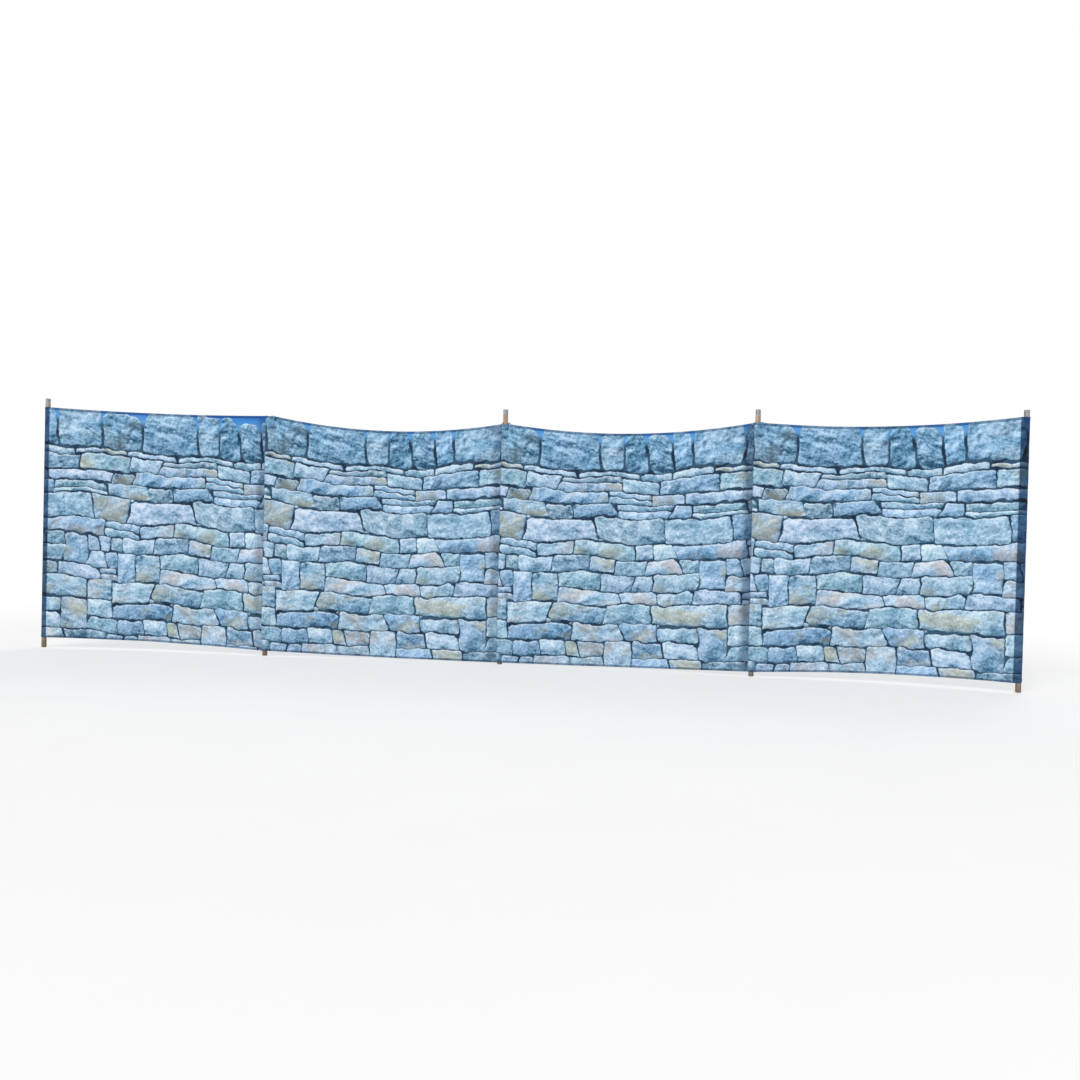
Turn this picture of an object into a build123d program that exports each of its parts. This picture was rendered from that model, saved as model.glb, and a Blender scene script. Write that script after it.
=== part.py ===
"""Beach windbreak of four cloth bays on five wooden poles, from ground level up."""

import os
from math import cos, radians, sin

from build123d import *

os.makedirs("parts", exist_ok=True)

# Driving sizes, in mm. X runs along the windbreak and the printed face looks to -Y.
# The origin is the middle of the third pole's foot, at ground level.
home_pole = 2
bay_length = 1200.0
bay_stretches = [-8.0, 12.0, 36.0, -16.0]
bay_headings = [3.2, 3.7, -0.7, -6.1]

# The cloth is one height throughout, and hangs a little higher on the outer poles.
cloth_height = 1200.0
foot_gaps = [53.0, 26.0, 10.0, 23.0, 43.0]
cloth_thickness = 1.0

# Between two poles the cloth bellies to the back, its top sags, and its foot draws up
# where the bay is tight and drops where it is slack.
belly_depths = [45.0, 25.0, 30.0, 70.0]
top_sags = [8.0, 56.0, 51.0, 24.0]
foot_rises = [5.0, -7.0, -5.0, 7.0]

# A hem is the cloth's edge folded over to the back and sewn down.
top_hem_width = 12.0
bottom_hem_width = 10.0
hem_thickness = 2.2

# Each pole is pushed in by hand, so each top stands out of the cloth by its own amount.
pole_diameter = 25.0
top_stand_outs = [44.0, -5.0, 66.0, 60.0, 32.0]
foot_chamfer = 1.5

# A pressed steel cap is fitted over a turned spigot and sits flush with the pole.
cap_height = 24.0
cap_wall = 1.0
cap_edge_chamfer = 1.2
cap_fit = 0.1

# A pocket is a sleeve of cloth round the pole, with a flat sewn lip to each side. Its
# ends are folded over like the hems, and the outer pockets have a rounded lower corner.
pocket_wall = 0.8
pocket_fit = 0.3
pocket_fold = 0.6
lip_width = 4.0
left_reach = 16.0
right_reach = 26.0
first_reach = 17.5
last_reach = 25.0
corner_radius = 9.0
seam_gap = 0.3

pole_radius = pole_diameter / 2
sleeve_radius = pole_radius + pocket_fit
front_offset = sleeve_radius + pocket_wall
bay_spans = [bay_length + stretch for stretch in bay_stretches]
pole_count = len(bay_spans) + 1
last_pole = pole_count - 1
cloth_tops = [gap + cloth_height for gap in foot_gaps]
pole_tops = [top + out for top, out in zip(cloth_tops, top_stand_outs)]


def find_pole_places():
    """Plan place of each pole, found by walking along the bays from the first pole."""
    walk = [Vector(0, 0)]
    for span, heading in zip(bay_spans, bay_headings):
        walk.append(walk[-1] + Vector(span, 0).rotate(Axis.Z, heading))
    return [place - walk[home_pole] for place in walk]


pole_places = find_pole_places()
headings_before = bay_headings[:1] + bay_headings
headings_after = bay_headings + bay_headings[-1:]
pole_turns = [(a + b) / 2 for a, b in zip(headings_before, headings_after)]


def pole_plane(pole, height=0.0):
    """Level plane on a pole's axis, with X along the cloth and Y to the back."""
    turn = radians(pole_turns[pole])
    origin = pole_places[pole] + Vector(0, 0, height)
    return Plane(origin=origin, x_dir=(cos(turn), sin(turn), 0), z_dir=(0, 0, 1))


def pocket_reaches(pole):
    """Where a pocket's sewn edges lie, to the left and right of the pole's axis."""
    if pole == 0:
        return (0.0, first_reach)
    if pole == last_pole:
        return (last_reach, 0.0)
    return (left_reach, right_reach)


# Poles: round wood with a flat cut foot and a spigot turned on top for the cap.
spigot_radius = pole_radius - cap_wall - cap_fit
spigot_height = cap_height - cap_wall - cap_fit
for i in range(pole_count):
    shoulder = pole_tops[i] - cap_height
    with BuildPart() as pole:
        with BuildSketch(pole_plane(i)):
            Circle(pole_radius)
        extrude(amount=shoulder)
        chamfer(pole.faces().sort_by(Axis.Z)[0].edges(), foot_chamfer)
        with BuildSketch(pole_plane(i, shoulder)):
            Circle(spigot_radius)
        extrude(amount=spigot_height)
    pole.part.label = f"pole_{i + 1}"
    export_step(pole.part, f"parts/pole_{i + 1}.step")

# Pole caps: a flat-topped steel cup with a softened rim, turned about the pole's axis.
cap_bore = pole_radius - cap_wall
cap_roof = cap_height - cap_wall
for i in range(pole_count):
    base = pole_plane(i, pole_tops[i] - cap_height)
    upright = Plane(origin=base.origin, x_dir=base.x_dir, z_dir=-base.y_dir)
    with BuildPart() as cap:
        with BuildSketch(upright) as section:
            with BuildLine():
                Polyline(
                    (cap_bore, 0),
                    (pole_radius, 0),
                    (pole_radius, cap_height),
                    (0, cap_height),
                    (0, cap_roof),
                    (cap_bore, cap_roof),
                    close=True,
                )
            make_face()
            rim = section.vertices().group_by(Axis.X)[-1].sort_by(Axis.Y)[-1]
            chamfer(rim, cap_edge_chamfer)
        revolve(axis=Axis(base.origin, (0, 0, 1)))
    cap.part.label = f"pole_cap_{i + 1}"
    export_step(cap.part, f"parts/pole_cap_{i + 1}.step")

# Pockets: the sleeve lies flat in front of the pole, wraps round its back and comes
# out to a sewn lip. On the outer poles the cloth wraps the pole's free side instead.
def sleeve_section(pole, height, wall):
    """Level section of a pocket at a height, open for the pole and with its two lips."""
    left, right = pocket_reaches(pole)
    inner_left = max(left - lip_width, 0)
    inner_right = max(right - lip_width, 0)
    lip_front = -sleeve_radius - wall
    lip_back = -sleeve_radius + wall
    with BuildSketch(pole_plane(pole, height)) as sleeve:
        with BuildLine():
            CenterArc((0, 0), sleeve_radius, 0, 360)
            Line((-inner_left, -sleeve_radius), (inner_right, -sleeve_radius))
        make_hull()
        bore = sleeve.sketch_local
        offset(amount=wall, kind=Kind.ARC)
        with BuildLine():
            Polyline(
                (-left, lip_front), (right, lip_front), (right, lip_back), (-left, lip_back),
                close=True,
            )
        make_face()
        add(bore, mode=Mode.SUBTRACT)
    return sleeve.sketch


def corner_waste(pole):
    """Upright piece of cloth outside the rounded lower corner of an outer pocket."""
    side = -1 if pole == 0 else 1
    edge = side * (sleeve_radius + pocket_wall + pocket_fold)
    middle = edge - side * corner_radius
    low = foot_gaps[pole]
    base = pole_plane(pole)
    with BuildSketch(Plane(origin=base.origin, x_dir=base.x_dir, z_dir=-base.y_dir)) as waste:
        with BuildLine():
            Polyline((edge, low + corner_radius), (edge, low), (middle, low))
            RadiusArc((middle, low), (edge, low + corner_radius), side * corner_radius)
        make_face()
    return waste.sketch


for i in range(pole_count):
    low_fold = foot_gaps[i] + bottom_hem_width
    high_fold = cloth_tops[i] - top_hem_width
    folded_wall = pocket_wall + pocket_fold
    with BuildPart() as pocket:
        extrude(sleeve_section(i, foot_gaps[i], folded_wall), amount=bottom_hem_width)
        extrude(sleeve_section(i, low_fold, pocket_wall), amount=high_fold - low_fold)
        extrude(sleeve_section(i, high_fold, folded_wall), amount=top_hem_width)
        if i in (0, last_pole):
            extrude(corner_waste(i), amount=2 * pole_diameter, both=True, mode=Mode.SUBTRACT)
    pocket.part.label = f"pocket_{i + 1}"
    export_step(pocket.part, f"parts/pocket_{i + 1}.step")


def bay_ends(bay, thickness):
    """Ends of a bay's cloth in plan, just clear of the pockets' sewn edges."""
    back = -front_offset + thickness / 2
    from_left = pocket_reaches(bay)[1] + seam_gap
    from_right = pocket_reaches(bay + 1)[0] + seam_gap
    start = pole_plane(bay).from_local_coords(Vector(from_left, back))
    end = pole_plane(bay + 1).from_local_coords(Vector(-from_right, back))
    return start, end


def foot_line(bay, lift):
    """Heights of a line along the cloth's foot: at its ends and in the middle."""
    left, right = foot_gaps[bay] + lift, foot_gaps[bay + 1] + lift
    return left, (left + right) / 2 + foot_rises[bay], right


def top_line(bay, drop):
    """Heights of a line along the cloth's top: at its ends and in the middle."""
    left, right = cloth_tops[bay] - drop, cloth_tops[bay + 1] - drop
    return left, (left + right) / 2 - top_sags[bay], right


def belly_strip(bay, thickness):
    """Plan of a bay's cloth: a thin strip that bellies to the back between the poles."""
    start, end = bay_ends(bay, thickness)
    with BuildSketch() as strip:
        with BuildLine():
            SagittaArc(start, end, belly_depths[bay])
        trace(line_width=thickness)
    return strip.sketch


def band_face(bay, low, high):
    """Upright face between two edge lines, seen square to the bay."""
    start, end = bay_ends(bay, cloth_thickness)
    along = end - start
    half = along.length / 2 + hem_thickness
    upright = Plane(origin=(start + end) / 2, x_dir=along, z_dir=along.rotate(Axis.Z, -90))
    with BuildSketch(upright) as band:
        with BuildLine():
            ThreePointArc((-half, low[0]), (0, low[1]), (half, low[2]))
            Line((half, low[2]), (half, high[2]))
            ThreePointArc((half, high[2]), (0, high[1]), (-half, high[0]))
            Line((-half, high[0]), (-half, low[0]))
        make_face()
    return band.sketch


# Cloth panels: one printed cloth to a bay, between its two hems.
for i in range(last_pole):
    low, high = foot_line(i, bottom_hem_width), top_line(i, top_hem_width)
    with BuildPart() as panel:
        extrude(belly_strip(i, cloth_thickness), amount=max(high))
        extrude(
            band_face(i, low, high), amount=2 * belly_depths[i], both=True, mode=Mode.INTERSECT
        )
    panel.part.label = f"cloth_panel_{i + 1}"
    export_step(panel.part, f"parts/cloth_panel_{i + 1}.step")

# Top hems: the folded upper edge, which hangs slack between the poles.
for i in range(last_pole):
    low, high = top_line(i, top_hem_width), top_line(i, 0)
    with BuildPart() as hem:
        extrude(belly_strip(i, hem_thickness), amount=max(high))
        extrude(
            band_face(i, low, high), amount=2 * belly_depths[i], both=True, mode=Mode.INTERSECT
        )
    hem.part.label = f"top_hem_{i + 1}"
    export_step(hem.part, f"parts/top_hem_{i + 1}.step")

# Bottom hems: the folded lower edge, which draws up a little between the poles.
for i in range(last_pole):
    low, high = foot_line(i, 0), foot_line(i, bottom_hem_width)
    with BuildPart() as hem:
        extrude(belly_strip(i, hem_thickness), amount=max(high))
        extrude(
            band_face(i, low, high), amount=2 * belly_depths[i], both=True, mode=Mode.INTERSECT
        )
    hem.part.label = f"bottom_hem_{i + 1}"
    export_step(hem.part, f"parts/bottom_hem_{i + 1}.step")
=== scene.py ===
"""Looks of a four-bay beach windbreak: printed cloth, sewn pockets, wooden poles and caps."""

from math import acos, atan2, cos, hypot, pi, radians, sin

import bmesh
import bpy
import numpy as np
from mathutils import Matrix, Vector


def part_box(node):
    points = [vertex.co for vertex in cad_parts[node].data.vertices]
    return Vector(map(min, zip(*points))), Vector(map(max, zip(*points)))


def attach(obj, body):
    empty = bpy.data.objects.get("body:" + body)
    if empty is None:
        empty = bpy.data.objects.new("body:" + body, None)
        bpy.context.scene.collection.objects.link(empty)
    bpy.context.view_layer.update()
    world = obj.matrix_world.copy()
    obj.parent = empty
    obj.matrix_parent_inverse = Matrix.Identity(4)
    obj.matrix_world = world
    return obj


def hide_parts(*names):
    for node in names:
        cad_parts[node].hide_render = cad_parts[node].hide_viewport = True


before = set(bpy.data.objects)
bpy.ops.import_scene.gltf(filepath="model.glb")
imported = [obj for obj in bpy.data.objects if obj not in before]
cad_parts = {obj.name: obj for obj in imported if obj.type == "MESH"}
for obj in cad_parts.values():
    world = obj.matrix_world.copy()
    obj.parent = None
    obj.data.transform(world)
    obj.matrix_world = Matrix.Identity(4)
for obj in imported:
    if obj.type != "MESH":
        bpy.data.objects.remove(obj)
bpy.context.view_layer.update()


# Poles: five round softwood poles with flat feet, turned smooth and left unvarnished.
# The grain runs up the pole, greys in the weather and darkens at the foot.
class Socket:
    """A shader output that takes part in sums: each operator adds its Math node."""

    def __init__(self, finish, node, output):
        self.finish = finish
        self.node = node
        self.output = node.outputs[output]

    def other(self, name):
        """Another output of the same node."""
        return Socket(self.finish, self.node, name)

    def math(self, operation, *values):
        return self.finish.node("ShaderNodeMath", {"operation": operation}, [self, *values])

    def __add__(self, value):
        return self.math("ADD", value)

    def __sub__(self, value):
        return self.math("SUBTRACT", value)

    def __mul__(self, value):
        return self.math("MULTIPLY", value)

    def __gt__(self, value):
        return self.math("GREATER_THAN", value)

    def __lt__(self, value):
        return self.math("LESS_THAN", value)

    def __rsub__(self, value):
        return self.finish.node("ShaderNodeMath", {"operation": "SUBTRACT"}, [value, self])

    __radd__ = __add__
    __rmul__ = __mul__


class Finish:
    """A material being put together, node by node."""

    def __init__(self, name):
        self.material = bpy.data.materials.new(name)
        self.material.use_nodes = True
        self.tree = self.material.node_tree
        self.surface = self.tree.nodes["Principled BSDF"]

    def node(self, kind, settings=(), sockets=(), output=0):
        """Adds a node: its settings first, then the values or links of its sockets."""
        node = self.tree.nodes.new(kind)
        for name, value in dict(settings).items():
            if name == "stops":
                self.set_stops(node.color_ramp.elements, value)
            else:
                setattr(node, name, value)
        pairs = sockets.items() if isinstance(sockets, dict) else enumerate(sockets)
        for name, value in pairs:
            self.feed(node.inputs[name], value)
        return Socket(self, node, output)

    def set_stops(self, elements, stops):
        for place, _ in stops[1:-1]:
            elements.new(place)
        for element, (place, colour) in zip(elements, stops):
            element.position = place
            element.color = colour

    def feed(self, socket, value):
        if isinstance(value, Socket):
            self.tree.links.new(value.output, socket)
        else:
            socket.default_value = value

    def mix(self, share, first, second, blend="MIX"):
        """Two colours mixed by a share."""
        settings = {"data_type": "RGBA", "blend_type": blend}
        return self.node("ShaderNodeMix", settings, {0: share, 6: first, 7: second}, output=2)

    def stretched(self, vector, scale, turn=0.0):
        """A vector scaled along each axis and turned about its third."""
        settings = {"vector_type": "POINT"}
        sockets = {"Vector": vector, "Scale": scale, "Rotation": (0, 0, turn)}
        return self.node("ShaderNodeMapping", settings, sockets)

    def noise(self, vector, scale, detail=3.0, roughness=0.5, distortion=0.0):
        sockets = {
            "Vector": vector, "Scale": scale, "Detail": detail,
            "Roughness": roughness, "Distortion": distortion,
        }
        return self.node("ShaderNodeTexNoise", {"noise_dimensions": "3D"}, sockets)

    def step(self, value, low, high):
        """0 below low and 1 above high, with a soft step between."""
        settings = {"interpolation_type": "SMOOTHSTEP"}
        sockets = {"Value": value, "From Min": low, "From Max": high}
        return self.node("ShaderNodeMapRange", settings, sockets)

    def ramp(self, value, *stops):
        return self.node("ShaderNodeValToRGB", {"stops": stops}, [value])

    def bump(self, height, distance, strength=1.0):
        sockets = {"Strength": strength, "Distance": distance, "Height": height}
        return self.node("ShaderNodeBump", {}, sockets)

    def finish(self, colour, roughness, normal=None, **constants):
        """Feeds the surface and returns the material."""
        self.feed(self.surface.inputs["Base Color"], colour)
        self.feed(self.surface.inputs["Roughness"], roughness)
        if normal is not None:
            self.feed(self.surface.inputs["Normal"], normal)
        for name, value in constants.items():
            self.feed(self.surface.inputs[name.replace("_", " ")], value)
        return self.material


def paint(red, green, blue):
    """A colour as it looks on a screen, from 0 to 255, as the shader takes it."""
    return tuple((part / 255) ** 2.2 for part in (red, green, blue)) + (1.0,)


def wood_finish():
    wood = Finish("pole_wood")
    place = wood.node("ShaderNodeTexCoord", output="Object")
    height = wood.node("ShaderNodeSeparateXYZ", {}, [place], output="Z")
    grain = wood.noise(wood.stretched(place, (260, 260, 7)), 1.0, 5.0, 0.6, 0.6)
    rings = wood.noise(wood.stretched(place, (90, 90, 2.2)), 1.0, 2.0, 0.5, 1.2)
    weather = wood.noise(wood.stretched(place, (25, 25, 6)), 1.0, 3.0, 0.55)
    colour = wood.ramp(
        grain * 0.6 + rings * 0.4,
        (0.30, paint(122, 98, 84)),
        (0.47, paint(168, 142, 124)),
        (0.58, paint(190, 166, 148)),
        (0.72, paint(210, 190, 174)),
    )
    colour = wood.mix(wood.step(weather, 0.42, 0.72) * 0.55, colour, paint(168, 160, 148))
    damp = 1 - wood.step(height + weather * 0.05, 0.03, 0.11)
    colour = wood.mix(damp * 0.6, colour, paint(74, 60, 46))
    crack = wood.noise(wood.stretched(place, (140, 140, 3.5)), 1.0, 2.0, 0.5, 0.4)
    crack = 1 - wood.step((crack - 0.5).math("ABSOLUTE"), 0.004, 0.02)
    colour = wood.mix(crack * 0.5, colour, paint(62, 44, 30))
    relief = grain * 0.5 + rings * 0.5 - crack * 0.6
    return wood.finish(colour, 0.62 + weather * 0.25, wood.bump(relief, 0.0006, 0.7))


pole_numbers = range(1, 6)
bay_numbers = range(1, 5)
wood = wood_finish()
for i in pole_numbers:
    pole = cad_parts[f"pole_{i}"]
    pole.data.materials.clear()
    pole.data.materials.append(wood)


# Pole caps: pressed steel cups, zinc plated and dulled, pushed over the turned spigots.
# The plating is stained a little where water has dried.
def steel_finish():
    steel = Finish("cap_steel")
    place = steel.node("ShaderNodeTexCoord", output="Object")
    spangle = steel.noise(place, 160, 4.0, 0.6)
    stain = steel.noise(steel.stretched(place, (70, 70, 35)), 1.0, 4.0, 0.65)
    brushed = steel.noise(steel.stretched(place, (60, 60, 1800)), 1.0, 2.0)
    colour = steel.mix(steel.step(spangle, 0.35, 0.7), paint(150, 153, 160), paint(198, 200, 206))
    colour = steel.mix(steel.step(stain, 0.5, 0.75) * 0.7, colour, paint(108, 112, 120))
    roughness = 0.32 + stain * 0.3
    relief = spangle * 0.4 + brushed * 0.6
    return steel.finish(colour, roughness, steel.bump(relief, 0.0002, 0.5), Metallic=0.85)


steel = steel_finish()
for i in pole_numbers:
    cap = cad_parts[f"pole_cap_{i}"]
    cap.data.materials.clear()
    cap.data.materials.append(steel)


# The print: a dry-stone wall, laid here stone by stone as the print's repeat. It has
# uneven courses, a thin levelling course, upright coping stones and sky above them.
repeat_width = 1.21
wall_foot = -0.05
coping_foot = 0.985
levelling_height = 0.034
courses = (
    (0.081, 0.15), (0.080, 0.12), (0.085, 0.22), (0.115, 0.27), (0.072, 0.16), (0.080, 0.13),
    (0.080, 0.12), (0.085, 0.21), (0.115, 0.29), (0.068, 0.20), (0.065, 0.23), (0.075, 0.25),
)
coping_widths = (0.22, 0.29, 0.12, 0.125, 0.125, 0.10, 0.23)
joint_inset = 0.0006
corner_sharpness = 600.0
shifts = (-repeat_width, 0.0, repeat_width)
plate_count = 4


def cut_stone(corners, chips, draw, worn=0.004):
    """A stone as the outward normals and reaches of its sides and knocked-off corners.
    worn is how far some of its sides fall short of the stones beside it."""
    corners = np.array(corners)
    along = np.roll(corners, -1, axis=0) - corners
    normals = np.c_[along[:, 1], -along[:, 0]] / np.linalg.norm(along, axis=1)[:, None]
    share = draw.uniform(0.3, 0.7, len(corners))[:, None]
    knocks = np.roll(normals, 1, axis=0) * share + normals * (1 - share)
    knocks /= np.linalg.norm(knocks, axis=1)[:, None]
    depths = np.array(chips) * draw.uniform(0.3, 1.0, len(corners))
    normals = np.r_[normals, knocks]
    reaches = (normals * np.r_[corners, corners]).sum(axis=1)
    gaps = draw.choice([0, 0.4, 1.0], len(corners), p=[0.55, 0.30, 0.15]) * worn
    reaches[:len(corners)] -= gaps * np.resize((1.6, 1.2, 0.5, 0.8), len(corners))
    reaches[len(corners):] -= depths
    return normals, reaches, corners.min(axis=0), corners.max(axis=0)


def stone_depth(stone, x, y):
    """How deep points lie in a stone, and the way its nearest sides face."""
    normals, reaches, _, _ = stone
    depths = reaches[:, None] - normals @ np.stack([x, y])
    least = depths.min(axis=0)
    weights = np.exp(-corner_sharpness * (depths - least))
    total = weights.sum(axis=0)
    return least - np.log(total) / corner_sharpness, (weights / total).T @ normals


class Bed:
    """The tops of the stones laid so far, which the next course is seated on."""

    def __init__(self, level):
        self.level = level
        self.spans = []

    def add(self, start, end, left, right):
        self.spans += [(start + shift, end + shift, left, right) for shift in shifts]

    def height(self, x):
        found = [
            left + (right - left) * (x - start) / (end - start)
            for start, end, left, right in self.spans
            if start <= x <= end
        ]
        return max(found, default=self.level)

    def seat(self, start, end):
        """The two ends of a straight foot that rests on what lies below."""
        knots = [x for span in self.spans for x in span[:2] if start < x < end]
        places = np.r_[np.linspace(start + 0.004, end - 0.004, 9), knots]
        heights = np.array([self.height(x) for x in places])
        slope = np.polyfit(places, heights, 1)[0].clip(-0.07, 0.07)
        level = (heights - slope * places).mean()
        level += 0.75 * (heights - slope * places - level).max()
        return slope * start + level, slope * end + level


def course_edges(start, end, wanted, joints_below, draw):
    """Upright joints of a run of stones, kept off the joints of the course below."""
    count = max(1, round((end - start) / wanted))
    widths = draw.uniform(0.45, 1.7, count)
    edges = start + np.r_[0, np.cumsum(widths)] / widths.sum() * (end - start)
    for k in range(1, count):
        away = (joints_below - edges[k] + repeat_width / 2) % repeat_width - repeat_width / 2
        nearest = away[np.abs(away).argmin()]
        if abs(nearest) < 0.028:
            edges[k] += (-1 if nearest > 0 else 1) * (0.03 - abs(nearest))
    return edges


def lay_courses(draw):
    """The stones of the courses, from the foot of the wall up to the coping."""
    heights = np.array([height for height, _ in courses]) * draw.uniform(0.93, 1.07, len(courses))
    heights *= (coping_foot - levelling_height - wall_foot) / heights.sum()
    heights = np.r_[heights, levelling_height]
    stones, bed, foot = [], Bed(wall_foot), wall_foot
    risen, joints_below = [], np.array([repeat_width])
    for row, height in enumerate(heights):
        levelling = row == len(courses)
        next_bed = Bed(foot + height)
        for start, end in risen:
            next_bed.add(start, end, foot + height, foot + height)
        if risen:
            risen.sort()
            ends = [start for start, _ in risen[1:]] + [risen[0][0] + repeat_width]
            runs = [(end, next_start) for (_, end), next_start in zip(risen, ends)]
        else:
            start = draw.uniform(0, 0.2)
            runs = [(start, start + repeat_width)]
        walled, risen, joints = bool(risen), [], []
        for start, end in runs:
            if end - start < 0.02:
                continue
            start, end = start % repeat_width, start % repeat_width + end - start
            wanted = 0.26 if levelling else courses[row][1] * draw.uniform(0.9, 1.1)
            edges = course_edges(start, end, wanted, joints_below, draw)
            leans = draw.normal(0, 0.10, len(edges)).clip(-0.22, 0.22) * height
            leans[[0, -1]] = 0.0 if walled else leans[0]
            joints += list(edges[:-1])
            for k in range(len(edges) - 1):
                left, right = edges[k], edges[k + 1]
                wide = right - left
                low = bed.seat(left, right)
                tall = 0.08 < wide < 0.15 and height < 0.10 and row < len(courses) - 4
                tall = tall and draw.random() < 0.3
                top = foot + height + (heights[row + 1] if tall else 0.0)
                tilt, rise = draw.normal(0, 0.02) * wide, draw.normal(0, 0.0045)
                if levelling:
                    tilt, rise = 0.0, rise / 2
                high = top + np.clip([rise - tilt / 2, rise + tilt / 2], -0.010, 0.010)
                first, last = (0.0, 0.0) if tall else (leans[k], leans[k + 1])
                foot_left, foot_right = (left - first, low[0]), (right - last, low[1])
                head_right, head_left = (right + last, high[1]), (left + first, high[0])
                chips = draw.choice([0.003, 0.006, 0.012, 0.02], 4, p=[0.3, 0.35, 0.25, 0.1])
                if tall:
                    risen.append((left, right))
                else:
                    next_bed.add(left, right, high[0], high[1])
                if not levelling and top - foot > 0.062 and wide > 0.10 and draw.random() < 0.22:
                    share, skew = draw.uniform(0.38, 0.62), draw.normal(0, 0.04)
                    rise_left = np.subtract(head_left, foot_left) * (share + skew)
                    rise_right = np.subtract(head_right, foot_right) * (share - skew)
                    mid_left, mid_right = foot_left + rise_left, foot_right + rise_right
                    chips = np.minimum(chips, 0.006)
                    lower = [foot_left, foot_right, mid_right, mid_left]
                    upper = [mid_left, mid_right, head_right, head_left]
                    stones.append(cut_stone(lower, chips, draw))
                    stones.append(cut_stone(upper, chips, draw))
                else:
                    whole = [foot_left, foot_right, head_right, head_left]
                    stones.append(cut_stone(whole, chips, draw))
        bed, joints_below, foot = next_bed, np.array(joints), foot + height
    return stones


def lay_coping(draw):
    """The upright stones along the top of the wall, the narrow ones leaning a little."""
    stones = []
    edges = np.r_[0, np.cumsum(coping_widths)]
    narrow = np.array(coping_widths) < 0.15
    leans = -0.012 * (narrow | np.roll(narrow, 1)) + draw.normal(0, 0.004, len(narrow))
    leans = np.r_[leans, leans[0]]
    for k, wide in enumerate(coping_widths):
        tops = coping_foot + draw.uniform(0.192, 0.222) + draw.normal(0, 0.006, 2)
        slips = draw.uniform(0, 0.009, 4)
        corners = [
            (edges[k] - leans[k] + slips[0], coping_foot + draw.uniform(0.001, 0.008)),
            (edges[k + 1] - leans[k + 1] - slips[1], coping_foot + draw.uniform(0.001, 0.008)),
            (edges[k + 1] + leans[k + 1] - slips[2], tops[0]),
            (edges[k] + leans[k] + slips[3], tops[1]),
        ]
        shoulder = min(0.03, 0.22 * wide)
        stones.append(cut_stone(corners, [0.014, 0.014, shoulder, shoulder], draw, worn=0.006))
    return stones


def wedge_fillers(stones, draw, most=14, least_gap=0.009):
    """Small stones pushed into the widest gaps between the others."""
    x, y = np.meshgrid(np.arange(0, repeat_width, 0.005), np.arange(0, coping_foot, 0.005))
    x, y = x.ravel(), y.ravel()
    depths = np.full(len(x), -1.0)

    def cover(stone):
        for shift in shifts:
            depths[:] = np.maximum(depths, stone_depth(stone, x - shift, y)[0])

    for stone in stones:
        cover(stone)
    fillers = []
    while len(fillers) < most and -depths.min() > least_gap:
        k = depths.argmin()
        radius = 0.003 - depths[k]
        angles = draw.uniform(0, 2 * pi) + np.arange(5) * 2 * pi / 5 + draw.uniform(-0.3, 0.3, 5)
        across = radius * draw.uniform(1.0, 1.7)
        corners = np.c_[x[k] + across * np.cos(angles), y[k] + radius * np.sin(angles)]
        fillers.append(cut_stone(corners, [0.002] * 5, draw))
        cover(fillers[-1])
    return fillers


def share_plates(stones, clearance=0.008):
    """The plate that prints each stone, so that neighbours are never on one plate."""
    plates = []
    for i, (_, _, low, high) in enumerate(stones):
        clash = np.zeros(plate_count)
        for j in range(i):
            _, _, other_low, other_high = stones[j]
            for shift in shifts:
                apart = (shift, 0.0)
                lap = np.minimum(high, other_high + apart) - np.maximum(low, other_low + apart)
                lap += clearance
                if lap.min() > 0:
                    clash[plates[j]] += lap.prod()
        plates.append(int(clash.argmin()))
    return plates


def wander(x, y, wavelength, size, draw, waves=7):
    """A smooth random shift of points in two directions."""
    shift = np.zeros((2, len(x)))
    for _ in range(waves):
        angle, first, second = draw.uniform(0, 2 * pi, 3)
        pitch = 2 * pi / (wavelength * draw.uniform(0.6, 1.6))
        phase = pitch * (cos(angle) * x + sin(angle) * y)
        shift += np.stack([np.sin(phase + first), np.sin(phase + second)])
    return shift * size / waves**0.5


wall_draw = np.random.default_rng(11)
wall = lay_courses(wall_draw)
first_coping = len(wall)
wall += lay_coping(wall_draw)
last_coping = len(wall) - 1
wall += wedge_fillers(wall, wall_draw)
wall_plates = share_plates(wall)


def print_wall(piece, across, up, doubled):
    """Prints the wall on a piece. across and up are places on the print, in metres, and
    the last argument is painted shade: how much each point is darkened, for the painted
    shadow of the pole and pocket behind it and the painted shade of cloth in two layers."""
    draw = np.random.default_rng(4)
    shift = wander(across, up, 0.45, 0.008, draw)
    shift += wander(across, up, 0.09, 0.0032, draw) + wander(across, up, 0.03, 0.0011, draw)
    x, y = (across + shift[0]) % repeat_width, up + shift[1]
    reach = 0.016
    sheets = np.zeros((plate_count, len(x), 4), np.float32)
    sheets[:, :, 3] = -0.05
    for number, (stone, plate) in enumerate(zip(wall, wall_plates)):
        low, high = stone[2] - reach, stone[3] + reach
        for offset in shifts:
            inside = (x - offset > low[0]) & (x - offset < high[0]) & (y > low[1]) & (y < high[1])
            near = np.where(inside)[0]
            depth, ways = stone_depth(stone, x[near] - offset, y[near])
            depth -= joint_inset
            nearer = depth > sheets[plate, near, 3]
            near, depth, ways = near[nearer], depth[nearer], ways[nearer]
            sheets[plate, near, 0] = number
            sheets[plate, near, 1:3] = ways
            sheets[plate, near, 3] = depth
    mesh = piece.data
    for plate, sheet in enumerate(sheets):
        layer = mesh.attributes.new(f"stones_{plate}", "FLOAT_COLOR", "POINT")
        layer.data.foreach_set("color", sheet.ravel())
    # Painted shade, kept for the shader: painted shadow of poles and pockets, painted shade of
    # cloth in two layers.
    layer = mesh.attributes.new("doubled", "FLOAT", "POINT")
    layer.data.foreach_set("value", np.asarray(doubled, np.float32))
    corners = np.zeros(len(mesh.loops), np.int32)
    mesh.loops.foreach_get("vertex_index", corners)
    places = np.stack([across, up], axis=1).astype(np.float32)[corners]
    cloth_map = mesh.uv_layers.get("cloth") or mesh.uv_layers.new(name="cloth")
    cloth_map.data.foreach_set("uv", places.ravel())


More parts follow.
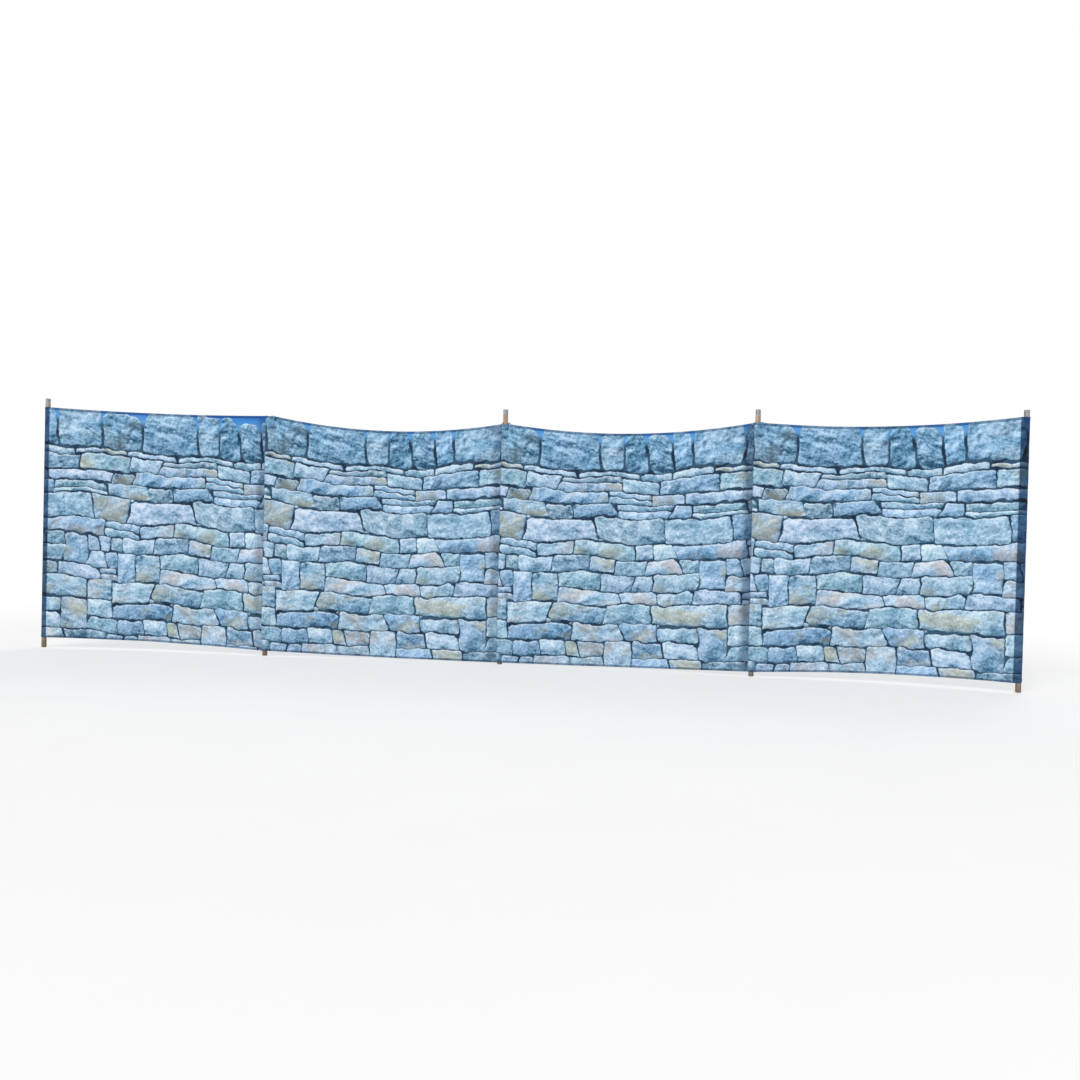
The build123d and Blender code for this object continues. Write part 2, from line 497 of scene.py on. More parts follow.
def cloth_finish(name, fade):
    """Printed polyester cloth. fade is how far the print has paled, as on the reverse."""
    cloth = Finish(name)
    place = cloth.node("ShaderNodeUVMap", {"uv_map": "cloth"})
    stone, depth = None, None
    for plate in range(plate_count):
        sheet = cloth.node("ShaderNodeAttribute", {"attribute_name": f"stones_{plate}"})
        inside = sheet.other("Alpha")
        if stone is None:
            stone, depth = sheet, inside
        else:
            stone = cloth.mix(inside > depth, stone, sheet)
            depth = depth.math("MAXIMUM", inside)
    parts = cloth.node("ShaderNodeSeparateColor", {}, [stone], output="Red")
    number = parts.math("ROUND")
    side, top = parts.other("Green"), parts.other("Blue")
    luck = cloth.node("ShaderNodeTexWhiteNoise", {"noise_dimensions": "1D"}, {"W": number})
    lucks = cloth.node("ShaderNodeSeparateColor", {}, [luck.other("Color")], output="Red")
    tone_luck, tint_luck = lucks.other("Green"), lucks.other("Blue")
    spin = cloth.node(
        "ShaderNodeVectorRotate",
        {"rotation_type": "Z_AXIS"},
        {"Vector": place, "Angle": (lucks - 0.5) * 0.7},
    )
    own = cloth.node(
        "ShaderNodeVectorMath",
        {"operation": "MULTIPLY_ADD"},
        [luck.other("Color"), (7.0, 5.0, 9.0), spin],
    )

    def carved(scale, reach, detail):
        """Painted light and shade of a rough face, lit from the upper left."""
        toward = cloth.node(
            "ShaderNodeVectorMath", {"operation": "ADD"}, [own, (-0.5 * reach, reach, 0.0)]
        )
        here = cloth.noise(cloth.stretched(own, scale), 1.0, detail, 0.62, 0.35)
        there = cloth.noise(cloth.stretched(toward, scale), 1.0, detail, 0.62, 0.35)
        return here - there

    faces = carved((9, 13, 9), 0.013, 3.0)
    chisel = carved((44, 50, 44), 0.0032, 4.0)
    mottle = cloth.noise(own, 17, 7.0, 0.62, 0.7)
    patch = cloth.noise(cloth.stretched(own, (7, 10, 7)), 1.0, 2.0, 0.45)
    crumble = cloth.noise(own, 105, 4.0, 0.6)
    speckle = cloth.noise(own, 430, 2.0, 0.7)
    coping = (number > first_coping - 0.5) * (number < last_coping + 0.5)
    height = cloth.node("ShaderNodeSeparateXYZ", {}, [place], output="Y")
    low_coping = coping * (1 - cloth.step(height, 1.0, 1.12))

    broad = (depth * -45.0).math("EXPONENT").math("MINIMUM", 1.0)
    light = 0.45 + tone_luck * 0.24 + faces * (1.5 + coping * 0.8) + chisel * (0.6 + coping * 0.3)
    light = light - (lucks > 0.92) * 0.20 - (number > last_coping + 0.5) * 0.35
    light = light + (mottle - 0.5) * 1.3 + (speckle - 0.5) * 0.45 + (crumble - 0.5) * 0.95
    light = light + (top - side * 0.4) * broad * 0.16 - coping * 0.08 - low_coping * 0.08
    colour = cloth.ramp(
        light,
        (0.00, paint(42, 82, 108)),
        (0.22, paint(92, 130, 156)),
        (0.45, paint(144, 177, 201)),
        (0.65, paint(180, 206, 229)),
        (0.83, paint(210, 229, 246)),
        (1.00, paint(236, 246, 254)),
    )
    tints = cloth.ramp(
        lucks,
        (0.00, paint(226, 240, 255)),
        (0.20, paint(240, 247, 255)),
        (0.42, paint(242, 252, 250)),
        (0.62, paint(248, 246, 255)),
        (0.82, paint(241, 250, 252)),
        (1.00, paint(254, 248, 244)),
    )
    colour = cloth.mix(1.0, colour, tints, "MULTIPLY")
    cooler = cloth.mix(1.0, colour, paint(218, 243, 252), "MULTIPLY")
    colour = cloth.mix(coping * 0.7, colour, cooler)
    blue_patch = cloth.step(patch, 0.48, 0.64) * 0.6
    bluer = cloth.mix(1.0, colour, paint(206, 230, 238), "MULTIPLY")
    colour = cloth.mix(blue_patch, colour, bluer)
    warm_patch = cloth.step(patch * 0.6 + mottle * 0.4, 0.53, 0.38) * (tint_luck > 0.5)
    warm_patch = warm_patch * (1 - coping * 0.7) * 0.85
    warm = cloth.mix(tone_luck > 0.55, paint(255, 241, 212), paint(255, 235, 224))
    warm = cloth.mix(1.0, cloth.mix(0.4, colour, paint(204, 208, 208)), warm, "MULTIPLY")
    colour = cloth.mix(warm_patch, colour, warm)
    flecks = cloth.step(crumble * 0.7 + speckle * 0.3, 0.60, 0.66)
    colour = cloth.mix(flecks * (0.20 + coping * 0.20), colour, paint(214, 232, 246))

    cracks = cloth.node(
        "ShaderNodeTexVoronoi",
        {"feature": "DISTANCE_TO_EDGE"},
        {"Vector": cloth.stretched(own, (6, 17, 6), 0.2), "Scale": 1.0},
    )
    crack = (1 - cloth.step(cracks + (crumble - 0.5) * 0.04, 0.004, 0.020)) * (tone_luck > 0.55)
    crack = crack * cloth.step(patch, 0.44, 0.56)
    colour = cloth.mix(crack * 0.35, colour, paint(66, 100, 126))

    edge = (depth * -150.0).math("EXPONENT").math("MINIMUM", 1.0)
    sunlit = (top - side * 0.4) * edge + (crumble - 0.5) * edge
    colour = cloth.mix(cloth.step(sunlit, 0.25, 1.0) * 0.65, colour, paint(226, 240, 252))
    shade = cloth.step((side * 0.5 - top + 0.15) * edge + (crumble - 0.5) * edge, 0.10, 1.1)
    colour = cloth.mix(shade * 0.55, colour, paint(60, 96, 122))

    opening = cloth.step(cloth.noise(place, 13, 3.0, 0.6), 0.42, 0.62)
    rough_depth = depth + (crumble - 0.5) * 0.0050 + (speckle - 0.5) * 0.0014
    under = (0.3 - top * 0.7) * cloth.step(mottle, 0.40, 0.60) * 0.0050
    rough_depth = rough_depth - under + 0.0007 - opening * 0.0015
    rim = (1 - cloth.step(rough_depth, 0.0, 0.0025)) * (0.35 + opening * 0.5)
    colour = cloth.mix(rim, colour, paint(72, 106, 132))
    joint = cloth.mix(opening, paint(58, 88, 112), paint(20, 40, 62))
    joint = cloth.mix(cloth.step(depth, -0.007, -0.002) * 0.3, joint, paint(44, 74, 100))
    sky = cloth.mix(cloth.step(height, 1.14, 1.22), paint(96, 160, 222), paint(48, 122, 204))
    in_sky = cloth.step(height + (mottle - 0.5) * 0.03, 1.115, 1.15)
    joint = cloth.mix(in_sky, joint, sky)
    colour = cloth.mix(cloth.step(rough_depth, -0.0008, 0.0006), joint, colour)

    # Painted shade: the print is darkened here for the shadow of the pole and pocket behind and
    # for cloth in two layers.
    doubled = cloth.node("ShaderNodeAttribute", {"attribute_name": "doubled"}, output="Fac")
    darker = cloth.mix(1.0, colour, paint(92, 118, 142), "MULTIPLY")
    colour = cloth.mix(doubled, colour, darker)
    colour = cloth.mix(fade, colour, paint(150, 172, 194))

    rows = cloth.node(
        "ShaderNodeTexWave",
        {"wave_type": "BANDS", "bands_direction": "X"},
        {"Vector": place, "Scale": 300.0, "Distortion": 0.4, "Detail": 1.0},
        output="Fac",
    )
    picks = cloth.node(
        "ShaderNodeTexWave",
        {"wave_type": "BANDS", "bands_direction": "Y"},
        {"Vector": place, "Scale": 300.0, "Distortion": 0.4, "Detail": 1.0},
        output="Fac",
    )
    creases = cloth.noise(place, 38, 2.0, 0.5)
    weave = cloth.bump(rows.math("MAXIMUM", picks), 0.00012, 0.5)
    normal = cloth.bump(creases, 0.0022, 0.5)
    cloth.feed(normal.node.inputs["Normal"], weave)
    return cloth.finish(colour, 0.78 + (speckle - 0.5) * 0.2, normal, Specular_IOR_Level=0.25)


print_face = cloth_finish("printed_cloth", 0.0)
print_back = cloth_finish("printed_cloth_reverse", 0.42)


# Cloth panels: one length of printed polyester to a bay, sewn at both ends to the
# pockets. Each hangs slack at the top, bellies to the back and creases at its corners.
left_reach = 0.016
right_reach = 0.026
first_reach = 0.0175
last_reach = 0.025
cloth_thickness = 0.0006
pocket_front = 0.0142
bellies = {1: 0.045, 2: 0.025, 3: 0.030, 4: 0.070}
top_sags = {1: 0.006, 2: 0.052, 3: 0.046, 4: 0.022}
foot_rises = {1: 0.005, 2: -0.007, 3: -0.005, 4: 0.007}
seam_drops = {1: 0.002, 2: 0.003, 3: 0.009, 4: 0.005, 5: 0.001}
top_curls = {1: 0.004, 2: 0.014, 3: 0.012, 4: 0.006}
print_starts = {1: -0.27, 2: 0.0, 3: 0.022, 4: 0.010}
print_rises = {1: (-0.018, 0.022), 2: (-0.024, -0.018), 3: (-0.016, -0.012), 4: (-0.020, -0.008)}
# Beside its right seam a bay is painted in shade: a painted shadow of the pole and pocket behind
# it, where the next bay's flap lies behind it too.
seam_shades = {1: 0.50, 2: 0.50, 3: 0.74, 4: 0.0}
shade_reach, shade_fade = 0.056, 0.030
panel_columns, panel_rows = 170, 206

pole_places = {}
cloth_feet = {}
cloth_heads = {}
for i in pole_numbers:
    low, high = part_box(f"pole_{i}")
    pole_places[i] = np.array([(low.x + high.x) / 2, (low.y + high.y) / 2])
    low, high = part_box(f"pocket_{i}")
    cloth_feet[i], cloth_heads[i] = low.z, high.z
headings = [
    atan2(*(pole_places[i + 1] - pole_places[i])[::-1]) for i in bay_numbers
]
pole_turns = dict(zip(pole_numbers, [
    (a + b) / 2 for a, b in zip(headings[:1] + headings, headings + headings[-1:])
]))


def beside_pole(pole, along, back):
    """Plan place of points along the cloth from a pole's axis and behind it."""
    turn = pole_turns[pole]
    x = pole_places[pole][0] + along * cos(turn) - back * sin(turn)
    y = pole_places[pole][1] + along * sin(turn) + back * cos(turn)
    return np.stack([x, y], axis=-1)


def rise_of_print(bay, s):
    """How high the print is set on a bay's cloth, at a share s of the way along it."""
    first, last = print_rises[bay]
    return first + (last - first) * s


class Panel:
    """The hung shape of one bay's cloth, from its left seam to its right seam."""

    def __init__(self, bay):
        self.bay = bay
        start = first_reach if bay == 1 else -left_reach
        end = -last_reach if bay == 4 else -left_reach
        flat = max(right_reach - start, 0.001) if bay > 1 else 0.001
        first = beside_pole(bay, np.linspace(start, start + flat, 8), -pocket_front)
        last = beside_pole(bay + 1, end, -pocket_front)
        chord = last - first[-1]
        q = np.linspace(0, 1, 200)[1:, None]
        back = np.array([-chord[1], chord[0]]) / np.linalg.norm(chord)
        swung = first[-1] + q * chord + bellies[bay] * 4 * q * (1 - q) * back
        self.line = np.r_[first, swung]
        steps = np.linalg.norm(np.diff(self.line, axis=0), axis=1)
        self.along = np.r_[0, np.cumsum(steps)]
        self.width = self.along[-1]
        self.flat = self.along[7]
        left_height = cloth_heads[bay] - cloth_feet[bay]
        self.height = (left_height + cloth_heads[bay + 1] - cloth_feet[bay + 1]) / 2
        self.draw_creases(np.random.default_rng(20 + bay))

    def draw_creases(self, draw):
        """Chooses the creases that fan out of the corners and the slow waves between."""
        self.creases = []
        for corner in ((0, 1), (1, 1), (0, 0), (1, 0)):
            for _ in range(5 if corner[1] else 2):
                angle = radians(draw.uniform(8, 76))
                size = draw.uniform(0.0012, 0.0036) * draw.choice([-1, 1])
                spread = radians(draw.uniform(2.5, 6))
                self.creases.append((corner, angle, size, spread, draw.uniform(0.18, 0.5)))
        self.waves = [
            (2 * pi / draw.uniform(0.22, 0.6), draw.uniform(-0.5, 0.5), draw.uniform(0, 2 * pi))
            for _ in range(6)
        ]

    def swell(self, s, t):
        """How far the cloth stands behind its plan line, from creases, waves and puckers."""
        up = t * self.height
        envelope = np.clip(4 * (s / self.width) * (1 - s / self.width), 0, 1)
        out = np.zeros_like(s)
        for corner, angle, size, spread, length in self.creases:
            across = np.abs(s - corner[0] * self.width) + 1e-6
            drop = np.abs(up - corner[1] * self.height)
            far = np.hypot(across, drop)
            turn = np.arctan2(drop, across)
            out += (
                size * np.exp(-(((turn - angle) / spread) ** 2)) * np.exp(-far / length)
                * (1 - np.exp(-((far / 0.05) ** 2)))
            )
        for pitch, slant, phase in self.waves:
            out += 0.0011 * envelope * np.sin(pitch * (s + slant * up) + phase)
        edge = np.minimum(s, self.width - s)
        out += 0.0009 * np.exp(-edge / 0.03) * (1 - np.exp(-((edge / 0.008) ** 2))) * np.sin(
            2 * pi * up / 0.052 + 2.0 * np.sin(up * 9)
        )
        hem = np.minimum(up, self.height - up)
        out += 0.0009 * np.exp(-hem / 0.022) * envelope**0.5 * np.sin(
            2 * pi * s / 0.036 + 2.5 * np.sin(s * 13)
        )
        curl = top_curls[self.bay] * envelope * np.clip((t - 0.86) / 0.14, 0, 1) ** 2
        return out + curl

    def plan_at(self, s):
        """Plan place of points s metres along the line that the cloth follows."""
        return np.stack([np.interp(s, self.along, self.line[:, k]) for k in (0, 1)], axis=-1)

    def at(self, s, t):
        """Points of the cloth s metres along it and at a share t of its height."""
        plan = self.plan_at(s)
        way = self.plan_at(s + 0.004) - self.plan_at(s - 0.004)
        way /= np.linalg.norm(way, axis=-1, keepdims=True)
        back = np.stack([-way[..., 1], way[..., 0]], axis=-1)
        plan = plan + back * self.swell(s, t)[..., None]
        bay = self.bay
        q = np.clip((s - self.flat) / (self.width - self.flat), 0, 1)
        bow = 4 * q * (1 - q)
        foot = cloth_feet[bay] * (1 - q) + cloth_feet[bay + 1] * q + foot_rises[bay] * bow
        head = (cloth_heads[bay] - seam_drops[bay]) * (1 - q)
        head += (cloth_heads[bay + 1] - seam_drops[bay + 1]) * q - top_sags[bay] * bow
        return np.concatenate([plan, (foot + (head - foot) * t)[..., None]], axis=-1)


def facing(shape, s, t):
    """Points of a hung cloth and the way its printed face looks there."""
    points = shape.at(s, t)
    along = shape.at(s + 0.002, t) - shape.at(s - 0.002, t)
    up = shape.at(s, t + 0.002) - shape.at(s, t - 0.002)
    normals = np.cross(along, up)
    return points, normals / np.linalg.norm(normals, axis=-1, keepdims=True)


def cloth_grid(name, columns, rows, place):
    """A new cloth of that many cells. place(s, t) gives the points for shares 0 to 1."""
    cells = bmesh.new()
    cells.loops.layers.uv.new("cloth")
    bmesh.ops.create_grid(cells, x_segments=columns, y_segments=rows, size=0.5)
    mesh = bpy.data.meshes.new(name)
    cells.to_mesh(mesh)
    cells.free()
    flat = np.zeros(len(mesh.vertices) * 3)
    mesh.vertices.foreach_get("co", flat)
    s, t = flat.reshape(-1, 3)[:, :2].T + 0.5
    s, t = s.clip(0, 1), t.clip(0, 1)
    mesh.vertices.foreach_set("co", place(s, t).astype(np.float32).ravel())
    mesh.polygons.foreach_set("use_smooth", [True] * len(mesh.polygons))
    mesh.update()
    piece = bpy.data.objects.new(name, mesh)
    bpy.context.scene.collection.objects.link(piece)
    mesh.materials.append(print_face)
    mesh.materials.append(print_back)
    return piece, s, t


def thicken(piece, back_slot=1):
    """Gives a cloth its thickness behind the printed face."""
    wall = piece.modifiers.new("thickness", "SOLIDIFY")
    wall.thickness = cloth_thickness
    wall.offset = -1.0
    wall.material_offset = back_slot
    wall.use_quality_normals = True


panels = {bay: Panel(bay) for bay in bay_numbers}
cloths = {}
for bay, panel in panels.items():
    piece, s, t = cloth_grid(
        f"cloth_{bay}", panel_columns, panel_rows, lambda s, t: panel.at(s * panel.width, t)
    )
    across = print_starts[bay] + s * panel.width
    up = rise_of_print(bay, s) + t * panel.height
    # Painted shadow of the pole and pocket, deepest at the bay's right seam.
    near_seam = (shade_reach - (1 - s) * panel.width) / shade_fade
    print_wall(piece, across, up, seam_shades[bay] * near_seam.clip(0, 1))
    thicken(piece)
    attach(piece, "root")
    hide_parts(f"cloth_panel_{bay}")
    cloths[bay] = [piece]


# Laps: at each inner pole the next bay's cloth runs on a little behind the end of this
# one and is sewn down there, so that a flap of the pale reverse shows from behind.
lap_widths = {1: 0.046, 2: 0.018, 3: 0.046}
lap_depth = 0.0013
lap_foot, lap_share = 0.012, 0.976

for bay in (1, 2, 3):
    panel = panels[bay]

    def flap_place(s, t):
        inward = (1 - s) * lap_widths[bay]
        points, normals = facing(panel, panel.width - 0.0005 - inward, lap_foot + lap_share * t)
        return points - normals * lap_depth

    piece, s, t = cloth_grid(f"lap_{bay}", 12, 160, flap_place)
    piece.data.flip_normals()
    across = print_starts[bay + 1] - (1 - s) * lap_widths[bay]
    print_wall(piece, across, rise_of_print(bay + 1, 0) + t * panel.height, 0 * s)
    piece.data.materials.clear()
    piece.data.materials.append(print_back)
    thicken(piece, back_slot=0)
    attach(piece, "root")
    cloths[bay].append(piece)


# Hems: the top and bottom edges of each bay, turned over to the back and sewn down.
# The two layers of the hem are painted in shade, dimmer than the panel; they pucker a little along
# the stitches.
top_hem_width = 0.012
bottom_hem_width = 0.010
hem_columns = 200
# The fold's section: how far in from the edge, as a share of the width, and mm forward.
hem_section = (
    (1.0, 0.5), (0.5, 0.7), (0.06, 0.6), (-0.04, -0.3), (0.06, -1.3), (0.5, -1.5), (1.0, -1.2),
)


def hem_place(panel, width, top):
    """Places the points of a hem: across its U section and along the cloth's edge."""
    inwards, prouds = np.array(hem_section).T
    lie = np.linspace(0, 1, len(inwards))

    def place(s, t):
        t = t if top else 1 - t
        inward = np.interp(t, lie, inwards) * width / panel.height
        proud = np.interp(t, lie, prouds) * 0.001
        points, normals = facing(panel, s * panel.width, 1 - inward if top else inward)
        return points + normals * proud[:, None]

    return place


for bay, panel in panels.items():
    for edge, width in (("top", top_hem_width), ("bottom", bottom_hem_width)):
        top = edge == "top"
        piece, s, t = cloth_grid(
            f"{edge}_hem_cloth_{bay}", hem_columns, 12, hem_place(panel, width, top)
        )
        inward = np.abs(t - 0.5) * 2 * width
        up = rise_of_print(bay, s) + (panel.height - inward if top else inward)
        # Hems are printed under painted shade, for their two layers of cloth.
        print_wall(piece, print_starts[bay] + s * panel.width, up, 0 * s + 0.7)
        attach(piece, "root")
        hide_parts(f"{edge}_hem_{bay}")
        cloths[bay].append(piece)


# Pockets: a sleeve of the same cloth round each pole. On the inner poles it is sewn
# behind the panels; on the outer poles the panel itself wraps the pole's free side.
loop_radius = 0.0139
lip_back = -0.0129
lip_width = 0.004
corner_radius = 0.009


def wrap_angle(knee, side):
    """Angle at which cloth from a sewn edge first touches the loop round the pole."""
    base = atan2(lip_back, knee) % (2 * pi)
    return base + side * acos(loop_radius / hypot(lip_back, knee))


def pocket_path(pole):
    """Plan of a pocket's outer face, against the clock, in the pole's own directions."""
    right = first_reach if pole == 1 else right_reach
    left = last_reach if pole == 5 else left_reach
    first_angle, last_angle = -pi / 2, 1.5 * pi
    start, end = [(-last_reach, -pocket_front)], [(first_reach, -pocket_front)]
    if pole < 5:
        knee = right - lip_width
        start = [(right, lip_back), (knee, lip_back)]
        first_angle = wrap_angle(knee, 1) - 2 * pi
    if pole > 1:
        knee = lip_width - left
        end = [(knee, lip_back), (-left, lip_back)]
        last_angle = wrap_angle(knee, -1)
    angles = np.linspace(first_angle, last_angle, 60)
    loop = loop_radius * np.stack([np.cos(angles), np.sin(angles)], axis=1)
    return np.r_[start, loop, end]


class Pocket:
    """The shape of a pocket, by its share of the way round and of its height."""

    def __init__(self, pole):
        self.pole = pole
        self.path = pocket_path(pole)
        self.along = np.r_[0, np.cumsum(np.linalg.norm(np.diff(self.path, axis=0), axis=1))]
        self.width = self.along[-1]
        self.foot, self.head = cloth_feet[pole], cloth_heads[pole]
        self.height = self.head - self.foot
        self.phase = pole * 1.7

    def at(self, s, t):
        way = s * self.width
        x = np.interp(way, self.along, self.path[:, 0])
        y = np.interp(way, self.along, self.path[:, 1])
        up = t * self.height
        angle = np.arctan2(y, x)
        behind = np.clip((y + 0.006) / 0.012, 0, 1)
        slack = 0.0011 + 0.0006 * np.sin(up * 61 + 2 * angle + self.phase)
        slack += 0.0005 * np.sin(up * 23 - angle + 2 * self.phase)
        hem = np.maximum(0.0105 - up, up - self.height + 0.0125)
        fold = 0.0005 * np.clip(hem / 0.0015 + 0.5, 0, 1)
        pucker = 0.0003 * np.exp(-np.maximum(-hem, 0) / 0.012) * (1 + np.sin(5 * angle + up * 300))
        grow = 1 + (behind * (slack + pucker) + fold) / loop_radius
        lift = 0 * x
        if self.pole in (1, 5):
            side = -1 if self.pole == 1 else 1
            over = (side * x - loop_radius + corner_radius).clip(0, corner_radius)
            lift = corner_radius - np.sqrt(corner_radius**2 - over**2)
        height = self.foot + lift + (self.height - lift) * t
        plan = beside_pole(self.pole, x * grow, y * grow)
        return np.concatenate([plan, height[..., None]], axis=-1)


pockets = {i: Pocket(i) for i in pole_numbers}
for i, pocket in pockets.items():
    piece, s, t = cloth_grid(f"pocket_cloth_{i}", 40, 150, pocket.at)
    bay = min(i, 4)
    # Painted shade on the outer pockets, where the cloth wraps the pole in two layers with the
    # pole behind; none on the inner ones.
    wrap_shade = s * 0 + (0.0 if 1 < i < 5 else 1.0)
    if i == 1:
        across = print_starts[1] - (1 - s) * pocket.width
    elif i == 5:
        across = print_starts[4] + panels[4].width + s * pocket.width
    else:
        across = print_starts[bay] + s * pocket.width
    print_wall(piece, across, rise_of_print(bay, float(i == 5)) + t * pocket.height, wrap_shade)
    if 1 < i < 5:
        piece.data.materials.clear()
        piece.data.materials.append(print_back)
    thicken(piece, back_slot=0)
    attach(piece, "root")
    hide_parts(f"pocket_{i}")


# Stitching: lockstitch in a blue thread, along the hems, the laps and the pockets' lips.
# Each stitch is a small pulled-in bead of thread, 3 mm long, and one is left every 4 mm.
stitch_pitch = 0.0042
stitch_length = 0.0031
stitch_width = 0.0008
edge_margin = 0.0018


def thread_finish():
    thread = Finish("sewing_thread")
    place = thread.node("ShaderNodeTexCoord", output="Object")
    twist = thread.node(
        "ShaderNodeTexWave",
        {"wave_type": "BANDS", "bands_direction": "DIAGONAL"},
        {"Vector": place, "Scale": 700.0},
        output="Fac",
    )
    colour = thread.mix(twist, paint(44, 70, 108), paint(86, 118, 156))
    return thread.finish(colour, 0.6 + twist * 0.1, thread.bump(twist, 0.0001))


def sew_row(seam, points, normals):
    """Adds a row of stitches along a line of points to a seam's mesh."""
    steps = np.linalg.norm(np.diff(points, axis=0), axis=1)
    along = np.r_[0, np.cumsum(steps)]
    row = bmesh.new()
    for place in np.arange(stitch_pitch, along[-1] - stitch_pitch, stitch_pitch):
        middle = Vector([np.interp(place, along, part) for part in points.T])
        ahead = Vector([np.interp(place + 0.001, along, part) for part in points.T]) - middle
        out = Vector([np.interp(place, along, part) for part in normals.T])
        ahead.normalize()
        side = out.cross(ahead).normalized()
        axes = Matrix((ahead, side, ahead.cross(side))).transposed().to_4x4()
        size = Matrix.Diagonal((stitch_length, stitch_width, stitch_width, 1))
        frame_of_stitch = Matrix.Translation(middle) @ axes @ size
        bmesh.ops.create_icosphere(row, subdivisions=1, radius=0.5, matrix=frame_of_stitch)
    mesh = bpy.data.meshes.new("row")
    row.to_mesh(mesh)
    row.free()
    seam.from_mesh(mesh)
    bpy.data.meshes.remove(mesh)


thread = thread_finish()


def finish_seam(seam, name):
    """Makes a seam's stitches a piece of the object."""
    mesh = bpy.data.meshes.new(name)
    seam.to_mesh(mesh)
    seam.free()
    mesh.polygons.foreach_set("use_smooth", [True] * len(mesh.polygons))
    mesh.materials.append(thread)
    piece = bpy.data.objects.new(name, mesh)
    bpy.context.scene.collection.objects.link(piece)
    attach(piece, "root")
    return piece


ends_to_ends = np.linspace(0, 1, 260)
for bay, panel in panels.items():
    seam = bmesh.new()
    lines = [(ends_to_ends * panel.width, 0 * ends_to_ends + t) for t in (
        (bottom_hem_width - edge_margin) / panel.height,
        1 - (top_hem_width - edge_margin) / panel.height,
    )]
    for s, t in lines:
        points, normals = facing(panel, s, t)
        sew_row(seam, points + normals * 0.0006, normals)
        sew_row(seam, points - normals * 0.0015, -normals)
    upright = lap_foot + lap_share * ends_to_ends
    sides = [edge_margin if bay == 1 else 0.002]
    sides += [panel.flat - 0.002] if bay > 1 else []
    sides += [panel.width - 0.002] if bay == 4 else []
    for place in sides:
        points, normals = facing(panel, 0 * upright + place, upright)
        sew_row(seam, points + normals * 0.0001, normals)
    if bay < 4:
        lap_edge = panel.width - lap_widths[bay] + 0.002
        points, normals = facing(panel, 0 * upright + lap_edge, upright)
        sew_row(seam, points - normals * 0.0014, -normals)
        sew_row(seam, points + normals * 0.0001, normals)
    cloths[bay].append(finish_seam(seam, f"stitches_{bay}"))
for i, pocket in pockets.items():
    seam = bmesh.new()
    up = 0.004 + 0.992 * ends_to_ends
    lips = [edge_margin / pocket.width] if i < 5 else []
    lips += [1 - edge_margin / pocket.width] if i > 1 else []
    for lip in lips:
        points = pocket.at(0 * up + lip, up)
        turn = pole_turns[i]
        out = np.array([-sin(turn), cos(turn), 0.0]) + 0 * points
        sew_row(seam, points + out * 0.0001, out)
    around = np.linspace(0.04, 0.96, 90)
    for level in (0.0085 / pocket.height, 1 - 0.0105 / pocket.height):
        points = pocket.at(around, 0 * around + level)
        ahead = np.gradient(points, axis=0)
        out = np.cross(ahead, (0.0, 0.0, 1.0))
        sew_row(seam, points + out / np.linalg.norm(out, axis=1)[:, None] * 0.0001, out)
    finish_seam(seam, f"pocket_stitches_{i}")

for bay, panel in panels.items():
    piece, *others = cloths[bay]
    f"pole_{bay + 1}"


# The room: a pale floor that keeps the shadow, a white surround and plain soft light.
def floor_finish():
    floor = Finish("floor")
    place = floor.node("ShaderNodeTexCoord", output="Object")
    grain = floor.noise(place, 3.0)
    floor.finish(floor.mix(grain, paint(240, 240, 240), paint(246, 246, 246)), 0.9)
    away = floor.node("ShaderNodeVectorMath", {"operation": "LENGTH"}, [place], output="Value")
    glow = floor.node("ShaderNodeEmission", {}, {"Color": (1, 1, 1, 1), "Strength": 1.0})
    seen = floor.node("ShaderNodeLightPath", output="Is Camera Ray")
    share = seen * (0.45 + floor.step(away, 2.6, 5.0) * 0.55)
    surface = Socket(floor, floor.surface, "BSDF")
    blend = floor.node("ShaderNodeMixShader", {}, [share, surface, glow])
    output = floor.tree.nodes["Material Output"]
    floor.feed(output.inputs["Surface"], blend)
    return floor.material


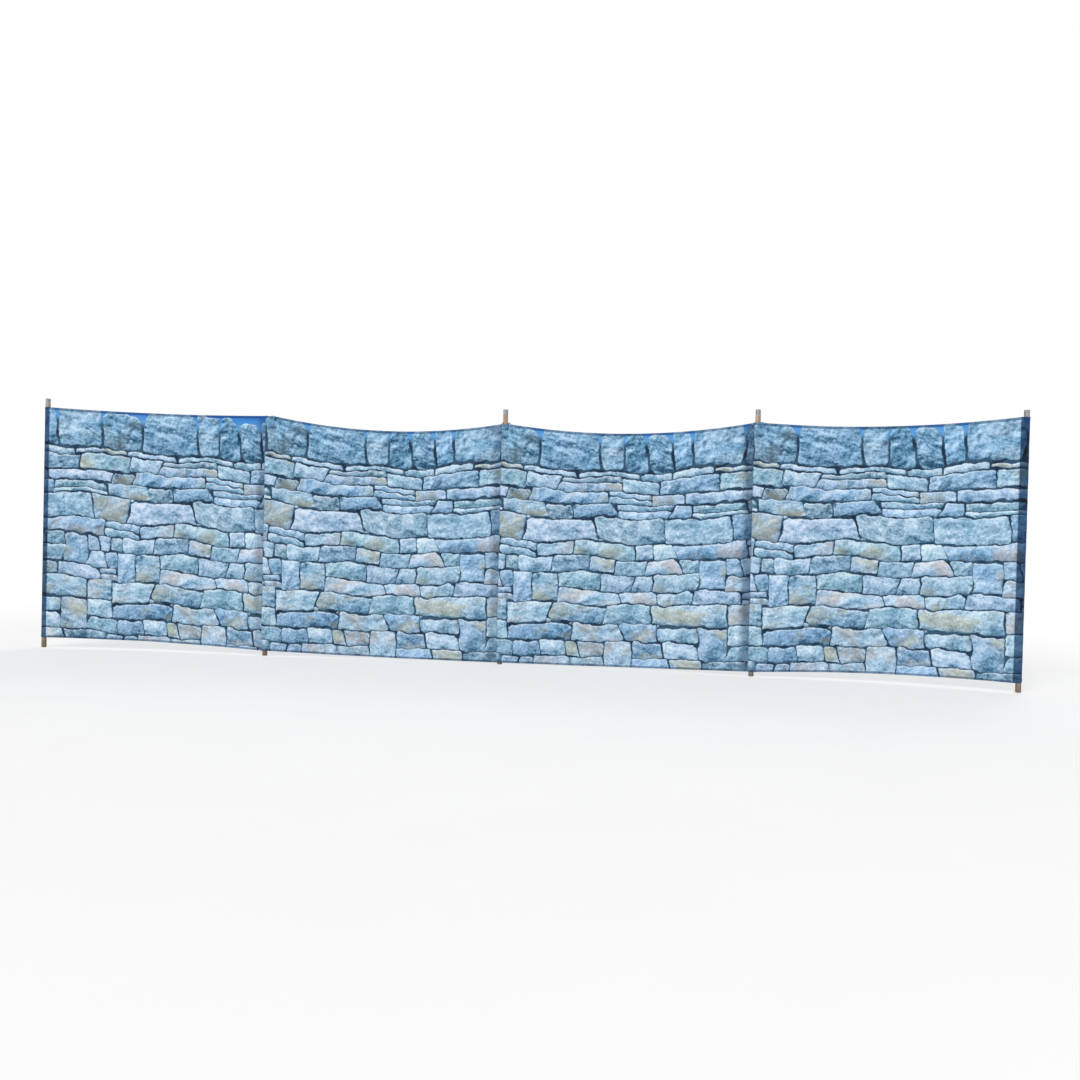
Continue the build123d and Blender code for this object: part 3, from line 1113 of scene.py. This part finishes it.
floor_mesh = bmesh.new()
bmesh.ops.create_grid(floor_mesh, x_segments=1, y_segments=1, size=60)
floor_data = bpy.data.meshes.new("floor")
floor_mesh.to_mesh(floor_data)
floor_mesh.free()
floor_data.materials.append(floor_finish())
floor = bpy.data.objects.new("floor", floor_data)
bpy.context.scene.collection.objects.link(floor)

world = bpy.data.worlds.new("surround")
world.use_nodes = True
bpy.context.scene.world = world
sky_light = world.node_tree.nodes["Background"]
seen = world.node_tree.nodes.new("ShaderNodeLightPath")
plain = world.node_tree.nodes.new("ShaderNodeBackground")
either = world.node_tree.nodes.new("ShaderNodeMixShader")
sky_light.inputs["Strength"].default_value = 0.63
sky_light.inputs["Color"].default_value = (1, 1, 1, 1)
plain.inputs["Color"].default_value = (1, 1, 1, 1)
links = world.node_tree.links
links.new(seen.outputs["Is Camera Ray"], either.inputs["Fac"])
links.new(sky_light.outputs["Background"], either.inputs[1])
links.new(plain.outputs["Background"], either.inputs[2])
links.new(either.outputs["Shader"], world.node_tree.nodes["World Output"].inputs["Surface"])


def soft_sun(name, tilt, turn, strength):
    """A sun of a wide, soft disc that shines from tilt below the zenith, turned about Z."""
    data = bpy.data.lights.new(name, "SUN")
    data.angle, data.energy = radians(30), strength
    sun = bpy.data.objects.new(name, data)
    bpy.context.scene.collection.objects.link(sun)
    sun.rotation_euler = (radians(tilt), 0, radians(turn))


soft_sun("sun_front", 52, -24, 1.18)
soft_sun("sun_back", 50, 160, 0.7)

camera_place = (0.929, -4.927, 0.703)
camera_yaw = radians(8.54)
camera_tilt = radians(0.86)
camera_roll = radians(1.43)
camera_data = bpy.data.cameras.new("camera")
camera_data.sensor_width = 36.0
camera_data.lens = 33.33
camera = bpy.data.objects.new("camera", camera_data)
bpy.context.scene.collection.objects.link(camera)
camera.matrix_world = (
    Matrix.Translation(camera_place)
    @ Matrix.Rotation(camera_yaw, 4, "Z")
    @ Matrix.Rotation(pi / 2 - camera_tilt, 4, "X")
    @ Matrix.Rotation(camera_roll, 4, "Z")
)
bpy.context.scene.camera = camera
bpy.context.scene.view_settings.view_transform = "Standard"
